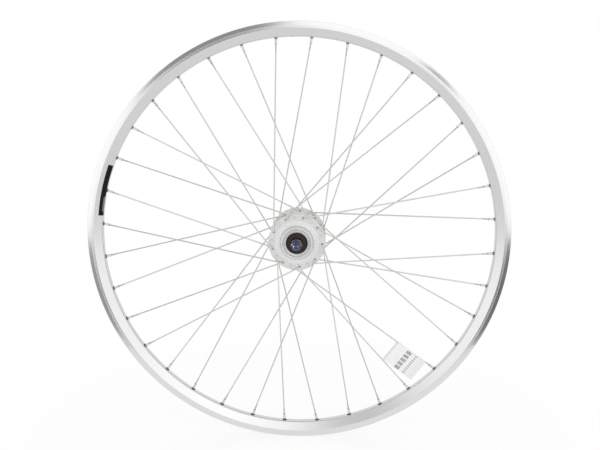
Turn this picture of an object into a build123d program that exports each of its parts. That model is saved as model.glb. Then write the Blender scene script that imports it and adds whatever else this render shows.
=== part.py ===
from build123d import *

import math
import os

# Bicycle wheel: a rim for a 622 mm tyre, 36 spokes laced three-cross, a large-flange hub and its axle set.
# Millimetres. The wheel's centre is the origin and +Y is the spin axis. The left side is towards -Y.
# Angles about the axis run from +X towards +Z. A radius and a distance along the axis describe each section.

# Rim
bead_seat_diameter = 622.0
rim_edge_height = 6.0
rim_width = 24.0
rim_depth = 21.4
rim_inner_width = 19.0
bead_seat_fall = 0.4
brake_track_height = 9.6
hook_height = 1.7
hook_lip = 0.6
hook_undercut = 0.8
spoke_bed_width = 8.7
spoke_bed_corner = 1.6
well_depth = 3.0
well_width = 9.0
well_shoulder = 1.6
bed_wall = 1.8
side_wall = 1.3
well_wall = 1.2
valve_hole_diameter = 8.5

# Lacing
spoke_count = 36
crossings = 3
first_hole_angle = 95.72
valve_after_spoke = 35

# Spokes and nipples. Small rounds that repeat are polygons of the same area, with this many sides,
# and the rim's nipple holes are squares, like the shanks in them.
small_round_sides = 6
spoke_diameter = 2.0
spoke_head_diameter = 3.8
spoke_head_height = 1.4
elbow_cut = 1.5
nipple_across_flats = 3.4
nipple_length = 12.0
nipple_head_diameter = 6.4
nipple_head_height = 2.2
nipple_tilt_room = 10.0

# Hub shell
hub_width = 75.0
flange_spacing = 56.0
flange_thickness = 3.2
flange_diameter = 84.6
spoke_hole_inset = 5.05
flange_foot_diameter = 60.0
barrel_diameter = 44.0
barrel_length = 38.0
barrel_bore_diameter = 34.0
face_step_diameter = 66.0
face_step_height = 0.8
boss_foot_diameter = 49.0
boss_foot_rise = 0.6
boss_diameter = 45.4
boss_setback = 1.0
groove_diameter = 41.2
groove_floor_diameter = 38.4
groove_depth = 1.3
lip_diameter = 36.4
hub_bore_diameter = 32.0

# Bearings
cup_mouth_depth = 7.0
cup_mouth_diameter = 28.4
cup_throat_diameter = 22.0
race_length = 5.5
cup_base = 3.0
cone_diameter = 16.0
cone_nose_diameter = 11.2
cone_race_length = 4.5
ball_count = 10
ball_ring_length = 4.0
seal_thickness = 1.9
seal_setback = 1.0

# Axle set
axle_diameter = 9.0
skewer_bore_diameter = 5.2
width_over_locknuts = 100.0
axle_overhang = 4.0
axle_stub_diameter = 8.6
locknut_height = 7.0
locknut_across_flats = 17.0

# Cap on the left end of the axle
cap_diameter = 15.0
cap_shoulder_diameter = 13.0
cap_nose_diameter = 9.6
cap_crown = 7.7
cap_skirt_length = 4.2
cap_nose_length = 1.5

# Sticker on the rim
decal_start_angle = 158.1
decal_end_angle = 173.2
decal_inset = 0.05
decal_width = 5.45
decal_thickness = 0.12

# Paper tag folded round one spoke
tag_spoke = 22
tag_length = 58.0
tag_width = 36.5
tag_from_seat = 19.6
paper_thickness = 0.15

# Clearances
press_gap = 0.02
thread_gap = 0.05
seat_gap = 0.05
hole_gap = 0.2
running_gap = 0.15
seal_lip_gap = 0.4
cap_gap = 0.3
glue_gap = 0.02

# Sides, as directions along the axis
LEFT = -1
RIGHT = 1
SIDES = ((LEFT, "left"), (RIGHT, "right"))

# Radii and places worked out from the sizes above
seat_radius = bead_seat_diameter / 2
rim_radius = seat_radius + rim_edge_height
bed_radius = rim_radius - rim_depth
track_radius = rim_radius - brake_track_height
well_radius = seat_radius - well_depth
cavity_floor = bed_radius + bed_wall
cavity_roof = well_radius - well_wall
flange_inner = (flange_spacing - flange_thickness) / 2
flange_outer = (flange_spacing + flange_thickness) / 2
hole_circle_radius = flange_diameter / 2 - spoke_hole_inset
half_hub = hub_width / 2
cup_shoulder = half_hub - cup_mouth_depth
race_end = cup_shoulder - race_length
half_locknuts = width_over_locknuts / 2
half_axle = half_locknuts + axle_overhang
cone_end = half_locknuts - locknut_height
rim_pitch = 360 / spoke_count
flange_pitch = 2 * rim_pitch

os.makedirs("parts", exist_ok=True)


def save(piece, node):
    """Label a finished piece and write it as its own node."""
    piece.part.label = node
    export_step(piece.part, f"parts/{node}.step")


def polygon_corner(diameter):
    """Corner radius of the small polygon that has the same area as a round of this diameter."""
    sector = math.tau / small_round_sides
    return diameter / 2 * math.sqrt(sector / math.sin(sector))


def round_of(diameter, mode=Mode.ADD):
    """Draw a small repeated round in the current sketch."""
    return RegularPolygon(polygon_corner(diameter), small_round_sides, mode=mode)


def on_wheel(radius, angle, along=0.0):
    """Point at a radius, an angle and a distance along the axis."""
    turn = math.radians(angle)
    return Vector(radius * math.cos(turn), along, radius * math.sin(turn))


def radial_plane(radius, angle):
    """Plane that faces away from the axis."""
    return Plane(on_wheel(radius, angle), x_dir=(0, 1, 0), z_dir=on_wheel(1, angle))


def side_plane(side, along):
    """Plane across the axis that faces away from the wheel's middle."""
    return Plane((0, side * along, 0), x_dir=(1, 0, 0), z_dir=(0, side, 0))


def slope_half_width(radius):
    """Half the rim's width on the slope between its spoke bed and its brake track."""
    share = (radius - bed_radius) / (track_radius - bed_radius)
    return (spoke_bed_width + share * (rim_width - spoke_bed_width)) / 2


def corner_half_width(radius):
    """Half the rim's width on the chamfer between its spoke bed and its slope."""
    share = (radius - bed_radius) / spoke_bed_corner
    bed_edge = spoke_bed_width / 2 - spoke_bed_corner
    return bed_edge + share * (slope_half_width(bed_radius + spoke_bed_corner) - bed_edge)


# A nipple's head stands this far above the rim's cavity floor, so that its tilt leaves it clear.
seat_lift = nipple_head_diameter / 2 * math.sin(math.radians(nipple_tilt_room)) + seat_gap
seat_height = cavity_floor + seat_lift


class Lace:
    """One spoke's run from its head in the flange, round its elbow, to its nipple in the rim."""

    def __init__(self, index):
        self.rim_angle = first_hole_angle + index * rim_pitch
        self.side = LEFT if index % 2 == 0 else RIGHT
        self.outside = index % 4 in (0, 3)
        lead = crossings * flange_pitch if self.outside else -crossings * flange_pitch
        self.hub_angle = self.rim_angle + lead
        self.seat = on_wheel(seat_height, self.rim_angle)
        self.hole = on_wheel(hole_circle_radius, self.hub_angle)
        flat_run = self.seat - self.hole
        self.heading = flat_run.normalized()
        elbow_along = self.elbow_height(flat_run.length)
        self.elbow = self.hole + Vector(0, self.side * elbow_along, 0)
        self.direction = (self.seat - self.elbow).normalized()
        self.tilt = self.direction.get_angle(on_wheel(1, self.rim_angle))

    def elbow_height(self, run):
        """Distance from the wheel's middle to the elbow's corner, clear of the flange and its edge."""
        if not self.outside:
            return flange_inner - elbow_cut - hole_gap
        outward = self.heading.dot(on_wheel(1, self.hub_angle)) * hole_circle_radius
        edge = (flange_diameter / 2) ** 2 - hole_circle_radius**2
        edge_run = math.sqrt(outward**2 + edge) - outward
        clear_of_edge = flange_outer + polygon_corner(spoke_diameter) + seat_gap
        return clear_of_edge / (1 - edge_run / run)

    def head_plane(self):
        """Plane of the flange face that the head sits on, facing along the stub towards the elbow."""
        along = flange_inner - seat_gap if self.outside else flange_outer + seat_gap
        facing = self.side if self.outside else -self.side
        return Plane(self.hole + Vector(0, self.side * along, 0), x_dir=self.heading, z_dir=(0, facing, 0))

    def nipple_plane(self):
        """Plane under the nipple's head, facing out along the spoke."""
        across = self.direction.cross(Vector(0, 1, 0))
        return Plane(self.seat, x_dir=across.cross(self.direction), z_dir=self.direction)


laces = [Lace(index) for index in range(spoke_count)]
steepest = math.radians(max(lace.tilt for lace in laces))
nipple_sway = (seat_lift + bed_wall) * math.tan(steepest)
nipple_hole_width = nipple_across_flats / math.cos(steepest) + 2 * (nipple_sway + hole_gap)

# Rim: a hollow double-wall section with hooked edges, turned about the axis
half_inner = rim_inner_width / 2
half_well = well_width / 2
rim_section = [
    (bed_radius, 0),
    (bed_radius, spoke_bed_width / 2 - spoke_bed_corner),
    (bed_radius + spoke_bed_corner, slope_half_width(bed_radius + spoke_bed_corner)),
    (track_radius, rim_width / 2),
    (rim_radius, rim_width / 2),
    (rim_radius, half_inner + hook_lip),
    (rim_radius - hook_height, half_inner),
    (seat_radius, half_inner + hook_undercut),
    (seat_radius - bead_seat_fall, half_well + well_shoulder),
    (well_radius, half_well),
    (well_radius, 0),
]
shoulder_roof = seat_radius - bead_seat_fall - well_wall
cavity_section = [
    (cavity_floor, 0),
    (cavity_floor, slope_half_width(cavity_floor) - side_wall),
    (shoulder_roof, slope_half_width(track_radius) - side_wall),
    (cavity_roof, half_well),
    (cavity_roof, 0),
]
with BuildPart() as rim:
    with BuildSketch():
        with BuildLine():
            Polyline(*rim_section)
            mirror(about=Plane.XZ)
        make_face()
        with BuildLine():
            Polyline(*cavity_section)
            mirror(about=Plane.XZ)
        make_face(mode=Mode.SUBTRACT)
    revolve(axis=Axis.Y)
    with BuildSketch(*[radial_plane(bed_radius - bed_wall, lace.rim_angle) for lace in laces]):
        Rectangle(nipple_hole_width, nipple_hole_width)
    extrude(amount=3 * bed_wall, mode=Mode.SUBTRACT)
    with BuildSketch(radial_plane(0, first_hole_angle + (valve_after_spoke + 0.5) * rim_pitch)):
        Circle(valve_hole_diameter / 2)
    extrude(amount=2 * rim_radius, mode=Mode.SUBTRACT)
save(rim, "rim")

# Nipples: a square shank for the spoke key and a wider head inside the rim
with BuildPart() as nipple:
    with BuildSketch():
        Rectangle(nipple_across_flats, nipple_across_flats)
    extrude(amount=-nipple_length)
    with BuildSketch():
        round_of(nipple_head_diameter)
    extrude(amount=nipple_head_height)
with BuildPart() as nipples:
    with Locations(*[lace.nipple_plane() for lace in laces]):
        add(nipple.part)
save(nipples, "nipples")


def make_spoke(lace):
    """J-bend spoke: a head on the flange, a stub through its hole, a mitred elbow and a straight shaft."""
    head_plane = lace.head_plane()
    with BuildPart() as spoke:
        with BuildLine() as run:
            Polyline(
                head_plane.origin,
                lace.elbow - head_plane.z_dir * elbow_cut,
                lace.elbow + lace.direction * elbow_cut,
                lace.seat - lace.direction * (nipple_length + thread_gap),
            )
        with BuildSketch(head_plane):
            round_of(spoke_diameter)
        sweep(path=run.wires()[0], transition=Transition.RIGHT)
        with BuildSketch(head_plane):
            round_of(spoke_head_diameter)
        extrude(amount=-spoke_head_height)
    return spoke


for index, lace in enumerate(laces):
    save(make_spoke(lace), f"spoke_{index + 1:02d}")

# Hub shell: barrel, flanges, end bosses and ball cups, turned about the axis
hub_section = [
    (barrel_bore_diameter / 2, 0),
    (barrel_bore_diameter / 2, race_end - cup_base),
    (cup_throat_diameter / 2, race_end - cup_base),
    (cup_throat_diameter / 2, race_end),
    (cup_mouth_diameter / 2, cup_shoulder),
    (hub_bore_diameter / 2, cup_shoulder),
    (hub_bore_diameter / 2, half_hub),
    (lip_diameter / 2, half_hub),
    (groove_floor_diameter / 2, half_hub - boss_setback - groove_depth),
    (groove_diameter / 2, half_hub - boss_setback),
    (boss_diameter / 2, half_hub - boss_setback),
    (boss_foot_diameter / 2, flange_outer + face_step_height + boss_foot_rise),
    (face_step_diameter / 2, flange_outer + face_step_height),
    (face_step_diameter / 2, flange_outer),
    (flange_diameter / 2, flange_outer),
    (flange_diameter / 2, flange_inner),
    (flange_foot_diameter / 2, flange_inner),
    (barrel_diameter / 2, barrel_length / 2),
    (barrel_diameter / 2, 0),
]
with BuildPart() as hub_shell:
    with BuildSketch():
        with BuildLine():
            Polyline(*hub_section)
            mirror(about=Plane.XZ)
        make_face()
    revolve(axis=Axis.Y)
    with BuildSketch(*[lace.head_plane() for lace in laces]):
        round_of(spoke_diameter + 2 * hole_gap)
    extrude(amount=flange_thickness + 2 * seat_gap, mode=Mode.SUBTRACT)
save(hub_shell, "hub_shell")


def turned_ring(side, inner_diameter, outer_diameter, start, length):
    """Plain ring about the axis, from one distance along it outwards."""
    with BuildPart() as ring:
        with BuildSketch(side_plane(side, start)):
            Circle(outer_diameter / 2)
            Circle(inner_diameter / 2, mode=Mode.SUBTRACT)
        extrude(amount=length)
    return ring


def make_balls(side):
    """Ring that fills the room of the loose balls, with one flat for each ball."""
    with BuildPart() as balls:
        with BuildSketch(side_plane(side, race_end + 2 * running_gap)):
            RegularPolygon(cup_throat_diameter / 2, ball_count)
            RegularPolygon(
                cone_diameter / 2 + running_gap,
                ball_count,
                major_radius=False,
                mode=Mode.SUBTRACT,
            )
        extrude(amount=ball_ring_length)
    return balls


def make_cone(side):
    """Ball cone: a barrel with a tapered race on its inner end, threaded on the axle."""
    cone_race = race_end + cone_race_length
    bore = axle_diameter / 2 + thread_gap
    with BuildPart() as cone:
        with BuildSketch():
            with BuildLine():
                Polyline(
                    (bore, side * race_end),
                    (cone_nose_diameter / 2, side * race_end),
                    (cone_diameter / 2, side * cone_race),
                    (cone_diameter / 2, side * cone_end),
                    (bore, side * cone_end),
                    close=True,
                )
            make_face()
        revolve(axis=Axis.Y)
    return cone


def make_locknut(side):
    """Hexagon locknut that clamps the cone."""
    with BuildPart() as locknut:
        with BuildSketch(side_plane(side, cone_end)):
            RegularPolygon(locknut_across_flats / 2, 6, major_radius=False)
            Circle(axle_diameter / 2 + thread_gap, mode=Mode.SUBTRACT)
        extrude(amount=locknut_height)
    return locknut


def make_seal(side):
    """Rubber disc in the mouth of the hub bore."""
    return turned_ring(
        side,
        cone_diameter + 2 * seal_lip_gap,
        hub_bore_diameter - 2 * press_gap,
        half_hub - seal_setback - seal_thickness,
        seal_thickness,
    )


for side, side_name in SIDES:
    save(make_balls(side), f"bearing_balls_{side_name}")
    save(make_cone(side), f"cone_{side_name}")
    save(make_seal(side), f"dust_seal_{side_name}")
    save(make_locknut(side), f"locknut_{side_name}")

# Axle: hollow, for a quick-release skewer, with a plain stub past the right locknut
with BuildPart() as axle:
    with BuildSketch():
        with BuildLine():
            Polyline(
                (skewer_bore_diameter / 2, LEFT * half_axle),
                (skewer_bore_diameter / 2, half_axle),
                (axle_stub_diameter / 2, half_axle),
                (axle_stub_diameter / 2, half_locknuts),
                (axle_diameter / 2, half_locknuts),
                (axle_diameter / 2, LEFT * half_axle),
                close=True,
            )
        make_face()
    revolve(axis=Axis.Y)
save(axle, "axle")

# Axle cap: a blind plastic cap that pushes over the left end of the axle
cap_start = half_locknuts + cap_gap
cap_bore = axle_diameter / 2 + thread_gap
cap_bore_end = half_axle + cap_gap
cap_end = cap_bore_end + cap_crown
with BuildPart() as axle_cap:
    with BuildSketch():
        with BuildLine():
            Polyline(
                (cap_bore, LEFT * cap_start),
                (cap_diameter / 2, LEFT * cap_start),
                (cap_diameter / 2, LEFT * (cap_start + cap_skirt_length)),
                (cap_shoulder_diameter / 2, LEFT * (cap_end - cap_nose_length)),
                (cap_nose_diameter / 2, LEFT * cap_end),
                (0, LEFT * cap_end),
                (0, LEFT * cap_bore_end),
                (cap_bore, LEFT * cap_bore_end),
                close=True,
            )
        make_face()
    revolve(axis=Axis.Y)
save(axle_cap, "axle_cap")

# Rim decal: a thin strip on the left side of the rim, from its inner corner on to the slope
decal_inner = bed_radius + decal_inset
decal_corner = bed_radius + spoke_bed_corner
decal_outer = decal_inner + decal_width
decal_edge = [
    (decal_inner, corner_half_width(decal_inner)),
    (decal_corner, slope_half_width(decal_corner)),
    (decal_outer, slope_half_width(decal_outer)),
]
decal_back = [(radius, -half_width - glue_gap) for radius, half_width in decal_edge]
decal_face = [(radius, along - decal_thickness) for radius, along in reversed(decal_back)]
decal_plane = Plane(
    (0, 0, 0),
    x_dir=on_wheel(1, decal_end_angle),
    z_dir=on_wheel(1, decal_end_angle + 90),
)
with BuildPart() as rim_decal:
    with BuildSketch(decal_plane):
        with BuildLine():
            Polyline(*decal_back, *decal_face, close=True)
        make_face()
    revolve(axis=Axis.Y, revolution_arc=decal_end_angle - decal_start_angle)
save(rim_decal, "rim_decal")

# Paper tag: a strip folded round a spoke, its two halves glued back to back
tag_lace = laces[tag_spoke]
tag_run = tag_lace.direction * -1
tag_plane = Plane(
    tag_lace.seat + tag_run * tag_from_seat,
    x_dir=tag_lace.nipple_plane().x_dir,
    z_dir=tag_run,
)
fold_bore = spoke_diameter + 2 * thread_gap
fold_diameter = fold_bore + 2 * paper_thickness
with BuildPart() as paper_tag:
    with BuildSketch(tag_plane):
        with Locations((0, tag_width / 2)):
            Rectangle(2 * paper_thickness, tag_width)
        round_of(fold_diameter)
        round_of(fold_bore, mode=Mode.SUBTRACT)
    extrude(amount=tag_length)
save(paper_tag, "paper_tag")
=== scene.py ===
import math

import bpy
from mathutils import Matrix, Vector


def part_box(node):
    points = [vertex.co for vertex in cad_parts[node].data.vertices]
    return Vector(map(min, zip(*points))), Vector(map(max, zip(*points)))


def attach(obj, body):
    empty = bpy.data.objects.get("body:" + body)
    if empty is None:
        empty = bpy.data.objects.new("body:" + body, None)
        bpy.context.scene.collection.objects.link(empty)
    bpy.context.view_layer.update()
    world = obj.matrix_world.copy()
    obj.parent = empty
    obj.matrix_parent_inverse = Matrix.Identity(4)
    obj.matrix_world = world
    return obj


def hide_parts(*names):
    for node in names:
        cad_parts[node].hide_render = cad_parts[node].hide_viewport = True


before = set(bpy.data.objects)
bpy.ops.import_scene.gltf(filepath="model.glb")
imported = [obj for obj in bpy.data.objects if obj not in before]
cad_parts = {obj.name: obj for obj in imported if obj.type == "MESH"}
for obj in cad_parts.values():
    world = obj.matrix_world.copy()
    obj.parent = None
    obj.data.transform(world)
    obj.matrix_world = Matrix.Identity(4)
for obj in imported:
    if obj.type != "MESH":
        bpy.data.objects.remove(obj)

bl_info = {
    "name": "Laced Bicycle Wheel",
    "version": (1, 0, 0),
    "blender": (4, 5, 0),
    "location": "View3D > Sidebar > Wheel",
    "description": "Dresses a bare rim-brake wheel, piece by piece, on its packed frame",
    "category": "Add Mesh",
}

MM = 0.001
MERGE = 0.01 * MM
# Usual rounds on turned edges
FINE = 0.3 * MM
PLAIN = 0.4 * MM
BLUNT = 0.5 * MM
SOFT = 0.8 * MM
LEFT = -1
RIGHT = 1
SIDES = ((LEFT, "left"), (RIGHT, "right"))
SPIN_AXIS = Vector((0, 1, 0))
UP = Vector((0, 0, 1))
WHEEL = "wheel"
AXLE_SET = "axle_set"
CAP = "cap"

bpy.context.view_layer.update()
RIM_LOW, RIM_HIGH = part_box("rim")
HUB_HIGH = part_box("hub_shell")[1]
AXLE_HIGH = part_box("axle")[1]
CAP_LOW, CAP_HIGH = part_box("axle_cap")
NUT_LOW, NUT_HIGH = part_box("locknut_right")
SEAL_LOW, SEAL_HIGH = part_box("dust_seal_right")
CONE_LOW, CONE_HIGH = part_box("cone_right")


def number(name, description, default, **kind):
    """A number that the panel shows."""
    return bpy.props.FloatProperty(name=name, description=description, default=default, **kind)


def length(name, description, millimetres):
    """A length that the panel shows."""
    return number(name, description, millimetres * MM, min=0.0, unit="LENGTH", precision=5)


def turn(name, description, degrees):
    """An angle that the panel shows."""
    return number(name, description, math.radians(degrees), unit="ROTATION")


def share(name, description, part):
    """A share from nought to one that the panel shows."""
    return number(name, description, part, min=0.0, max=1.0, subtype="FACTOR")


def level(name, description, value):
    """A plain number that the panel shows."""
    return number(name, description, value, subtype="NONE")


def count(name, description, default):
    """A whole number that the panel shows."""
    return bpy.props.IntProperty(name=name, description=description, default=default, min=1)


def colour(name, description, *channels):
    """A colour that the panel shows, from its red, green and blue."""
    default = (*channels, 1.0)
    return bpy.props.FloatVectorProperty(
        name=name, description=description, default=default, size=4, min=0.0, max=1.0, subtype="COLOR"
    )


class RimSizes(bpy.types.PropertyGroup):
    """Sizes and colours of the double-wall rim."""

    radius: length("Radius", "Outer radius of the rim", RIM_HIGH.x / MM)
    width: length("Width", "Width over the brake tracks", (RIM_HIGH.y - RIM_LOW.y) / MM)
    depth: length("Depth", "From the outer edge to the spoke bed", 21.4)
    seat_drop: length("Bead seat", "From the outer edge down to the bead seat", 6)
    inner_width: length("Inner width", "Between the hooked edges", 19)
    track_height: length("Brake track", "Height of the machined brake track", 9.6)
    wear_line: length("Wear line", "From the outer edge to the wear groove", 6.2)
    wear_width: length("Wear line width", "Width of the wear groove", 0.9)
    wear_depth: length("Wear line depth", "Depth of the wear groove", 0.05)
    bed_width: length("Spoke bed", "Width between the slopes at the spoke bed", 8.7)
    bed_round: length("Bed round", "Round between the bed and the slopes", 4.0)
    edge_round: length("Edge round", "Round on the outer edges", 0.5)
    bed_wall: length("Bed wall", "Thickness of the wall under the spokes", 1.8)
    side_wall: length("Side wall", "Thickness of the sloping walls", 1.3)
    well_wall: length("Well wall", "Thickness of the wall under the tyre", 1.2)
    well_depth: length("Well depth", "Depth of the well below the bead seat", 3)
    well_width: length("Well width", "Width of the well's floor", 9)
    nipple_hole: length("Nipple hole", "Diameter of a nipple's hole in the bed", 5.8)
    # Diameter of the dark ring round each nipple hole.
    hole_ring: length("Eyelet", "Diameter of the eyelet in a nipple's hole", 7.6)
    access_hole: length("Access hole", "Diameter of the hole above a nipple", 7.6)
    valve_hole: length("Valve hole", "Diameter of the valve's hole", 8.5)
    steps: count("Steps", "Steps round the rim", 360)
    satin: colour("Satin", "Anodised slopes and bed", 0.80, 0.80, 0.795)
    turned: colour("Turned", "Machined brake track", 0.88, 0.88, 0.885)
    # Unpolished walls inside the hollow, darkened by painted shade.
    raw_and_shade: colour("Raw", "Raw walls inside the hollow", 0.10, 0.085, 0.075)
    # Colour of the dark ring round each nipple hole.
    hole_ring_colour: colour("Eyelet steel", "Dull steel of the eyelets", 0.25, 0.22, 0.195)

    @property
    def bed(self):
        """Radius of the spoke bed."""
        return self.radius - self.depth

    @property
    def track(self):
        """Radius at the foot of the brake track."""
        return self.radius - self.track_height

    @property
    def seat(self):
        """Radius of the bead seat."""
        return self.radius - self.seat_drop

    @property
    def well(self):
        """Radius of the well's floor."""
        return self.seat - self.well_depth

    @property
    def lean(self):
        """Width that each slope gains as the radius grows."""
        return (self.width - self.bed_width) / 2 / (self.track - self.bed)


class LacingSizes(bpy.types.PropertyGroup):
    """Sizes and colours of the spokes and nipples, and the pattern they are laced in."""

    spokes: count("Spokes", "Number of spokes", 36)
    crossings: count("Crossings", "Times that each spoke crosses others of its side", 3)
    first_angle: turn("First hole", "Angle of the first hole in the rim", 95.72)
    valve_gap: count("Valve gap", "Spoke before the valve hole", 35)
    spoke: length("Spoke", "Diameter of a spoke", 2.0)
    thread: length("Spoke thread", "From the spoke bed to the end of a spoke's thread", 18)
    head: length("Spoke head", "Diameter of a spoke's head", 3.8)
    head_height: length("Head height", "Height of a spoke's head", 1.4)
    elbow: length("Elbow", "Length of each leg of the elbow's bend", 1.5)
    nipple: length("Nipple", "Diameter of a nipple's body", 4.0)
    nipple_flats: length("Nipple flats", "Width across a nipple's flats", 3.3)
    nipple_length: length("Nipple length", "From a nipple's seat to its inner end", 12)
    nipple_head: length("Nipple head", "Diameter of a nipple's head", 6.4)
    nipple_head_height: length("Nipple head height", "Height of a nipple's head", 2.2)
    tilt_room: turn("Tilt room", "Tilt that a nipple's head has room for", 10)
    steel: colour("Steel", "Drawn steel of the spokes", 0.71, 0.69, 0.665)
    plating: colour("Plating", "Plating of the nipples", 0.80, 0.79, 0.78)
    # Dark brass for worn nipple roots and spoke threads, also used as painted shade at the nipples' inner
    # ends.
    brass_and_shade: colour("Brass", "Dark brass at a nipple's root", 0.32, 0.27, 0.23)

    @property
    def pitch(self):
        """Angle from one spoke to the next at the rim."""
        return math.tau / self.spokes


class HubSizes(bpy.types.PropertyGroup):
    """Sizes and colours of the hub shell."""

    half_width: length("Half width", "From the middle to the end of the hub", HUB_HIGH.y / MM)
    flange: length("Flange", "Radius of the flanges", HUB_HIGH.x / MM)
    flange_middle: length("Flange place", "From the middle to the middle of a flange", 28)
    flange_thickness: length("Flange thickness", "Thickness of a flange", 3.2)
    hole_circle: length("Hole circle", "Radius of the circle of spoke holes", 37.25)
    hole: length("Spoke hole", "Diameter of a spoke hole", 3.4)
    flange_foot: length("Flange foot", "Radius where a flange leaves the barrel's cone", 30)
    barrel: length("Barrel", "Radius of the barrel", 22)
    barrel_half: length("Barrel half", "Half the straight length of the barrel", 19)
    step: length("Face step", "Radius of the step on a flange", 33)
    boss_foot: length("Boss foot", "Radius at the foot of the end boss", 25.8)
    boss: length("Boss", "Radius of the end boss", 22.7)
    groove: length("Groove", "Outer radius of the end groove", 21.3)
    groove_floor: length("Groove floor", "Radius of the end groove's floor", 19.2)
    lip: length("Lip", "Outer radius of the end lip", 18.2)
    bore: length("Bore", "Radius of the bore's mouth", 16)
    satin: colour("Satin", "Satin alloy of the hub", 0.81, 0.81, 0.81)
    # Painted shade, blended onto the sides of the end bosses and into their grooves.
    shade: colour("Shade", "Darker alloy on the sides of the end bosses", 0.45, 0.45, 0.455)
    dull: colour("Dull", "Duller alloy of the flanges", 0.75, 0.745, 0.735)

    @property
    def flange_inner(self):
        """From the middle to the inner face of a flange."""
        return self.flange_middle - self.flange_thickness / 2

    @property
    def flange_outer(self):
        """From the middle to the outer face of a flange."""
        return self.flange_middle + self.flange_thickness / 2


class BearingSizes(bpy.types.PropertyGroup):
    """Sizes and colours of the balls, cones, seals, axle, locknuts and cap."""

    balls: count("Balls", "Balls in each bearing", 10)
    ball: length("Ball", "Radius of a ball", 1.3)
    ball_circle: length("Ball circle", "Radius of the circle of balls", 9.55)
    cone: length("Cone", "Radius of a cone", CONE_HIGH.x / MM)
    cone_nose: length("Cone nose", "Radius of a cone's nose", 5.6)
    cone_race: length("Cone race", "Length of a cone's race", 4.5)
    nut_flats: length("Nut flats", "Width across a locknut's flats", 15)
    bore: length("Nut bore", "Radius of the bores of cones and locknuts", 4.55)
    seal_lip: length("Seal lip", "Radius of a seal's lip", 8.4)
    axle: length("Axle", "Radius of the axle's thread", 4.5)
    stub: length("Stub", "Radius of the axle's plain right end", 4.3)
    skewer: length("Skewer bore", "Radius of the bore through the axle", 2.6)
    cap: length("Cap", "Radius of the cap's skirt", CAP_HIGH.x / MM)
    cap_skirt: length("Cap skirt", "Thickness of the cap's skirt", 1.8)
    cap_dome: length("Cap dome", "Radius of the cap's dome", 6.1)
    cap_crown: length("Cap crown", "Thickness of the cap in front of the axle", 7.7)
    steel: colour("Bearing steel", "Ground and blackened steel", 0.24, 0.21, 0.185)
    rubber: colour("Rubber", "Black rubber of the seals", 0.015, 0.011, 0.009)
    plastic: colour("Plastic", "Blue plastic of the cap", 0.008, 0.014, 0.062)


class TrimSizes(bpy.types.PropertyGroup):
    """Sizes and colours of the sticker and the paper tag."""

    decal_start: turn("Sticker start", "Angle of the sticker's lower end", 173.2)
    decal_length: turn("Sticker length", "Angle that the sticker covers", 15.1)
    decal_inset: length("Sticker inset", "From the spoke bed to the sticker's inner edge", 0.05)
    decal_width: length("Sticker width", "Radial width of the sticker", 6.1)
    decal_film: length("Sticker film", "Thickness of the sticker", 0.12)
    tag_spoke: count("Tag spoke", "Spoke that the tag hangs on", 23)
    tag_length: length("Tag length", "Length of the tag along its spoke", 58)
    tag_width: length("Tag width", "Width of the tag away from its spoke", 36.5)
    tag_from_seat: length("Tag place", "From the nipple's seat to the tag", 19.6)
    paper: length("Paper", "Thickness of the paper", 0.15)
    film_colour: colour("Film", "Black film of the sticker", 0.016, 0.0145, 0.0125)
    band_colour: colour("Band", "Grey band on the sticker", 0.24, 0.235, 0.23)
    paper_colour: colour("Paper colour", "White paper of the tag", 0.90, 0.90, 0.905)
    # Painted shade: the paper turns greyer towards the tag's foot.
    paper_shade: colour("Paper grey", "Greyer paper at the tag's foot", 0.72, 0.71, 0.76)
    ink: colour("Ink", "Dark print of the tag", 0.10, 0.085, 0.08)

    @property
    def decal_top(self):
        """Angle of the sticker's upper end."""
        return self.decal_start - self.decal_length


class StageSettings(bpy.types.PropertyGroup):
    """Light, floor and camera."""

    white: colour("White", "Colour of the floor and backdrop", 1.0, 1.0, 1.0)
    ambient: share("Ambient", "Strength of the light from all round", 0.62)
    floor_light: share("Floor light", "How bright the floor is in the metal", 0.78)
    near_floor: share("Near floor", "How bright the floor under the wheel is in the metal", 0.82)
    wall_light: level("Wall light", "How bright the walls in front are in the metal", 1.12)
    backdrop_light: level("Backdrop light", "How bright the backdrop is in the metal", 0.82)
    horizon: level("Horizon", "Height of the floor's far edge in the metal", -0.200)
    ceiling_dark: share("Dark ceiling", "How much darker the ceiling is", 0.08)
    side_dark: share("Dark sides", "How much darker the room is to both sides", 0.48)
    distance: length("Camera distance", "From the hub to the camera", 1106.566)
    elevation: turn("Camera height", "Angle of the camera above the axle", 12.155)
    azimuth: turn("Camera side", "Angle of the camera to the right of the axle", 2.185)
    pan: turn("Camera pan", "Turn of the camera to the right of the hub", 0.188)
    tilt: turn("Camera tilt", "Turn of the camera up from the hub", 1.03)
    roll: turn("Camera roll", "Roll of the camera", -0.239)
    sensor: number("Sensor", "Width of the camera's sensor", 36.0, unit="CAMERA")
    lens: number("Lens", "Focal length of the camera", 43.907, unit="CAMERA")


class Value:
    """A number or colour in a material, whose arithmetic adds Math nodes."""

    def __init__(self, finish, socket):
        self.finish = finish
        self.socket = socket

    def output(self, name):
        """Another output of the same node."""
        return Value(self.finish, self.socket.node.outputs[name])

    def maths(self, operation, other=0.0):
        """The answer of one Math node."""
        return self.finish.maths(operation, self, other)

    def hypot(self, other):
        """The root of the sum of two squares."""
        return (self * self + other * other).maths("SQRT")

    def __add__(self, other):
        return self.maths("ADD", other)

    def __radd__(self, other):
        return self.finish.maths("ADD", other, self)

    def __sub__(self, other):
        return self.maths("SUBTRACT", other)

    def __rsub__(self, other):
        return self.finish.maths("SUBTRACT", other, self)

    def __mul__(self, other):
        return self.maths("MULTIPLY", other)

    def __rmul__(self, other):
        return self.finish.maths("MULTIPLY", other, self)

    def __truediv__(self, other):
        return self.maths("DIVIDE", other)

    def __rtruediv__(self, other):
        return self.finish.maths("DIVIDE", other, self)

    def __abs__(self):
        return self.maths("ABSOLUTE")


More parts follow.
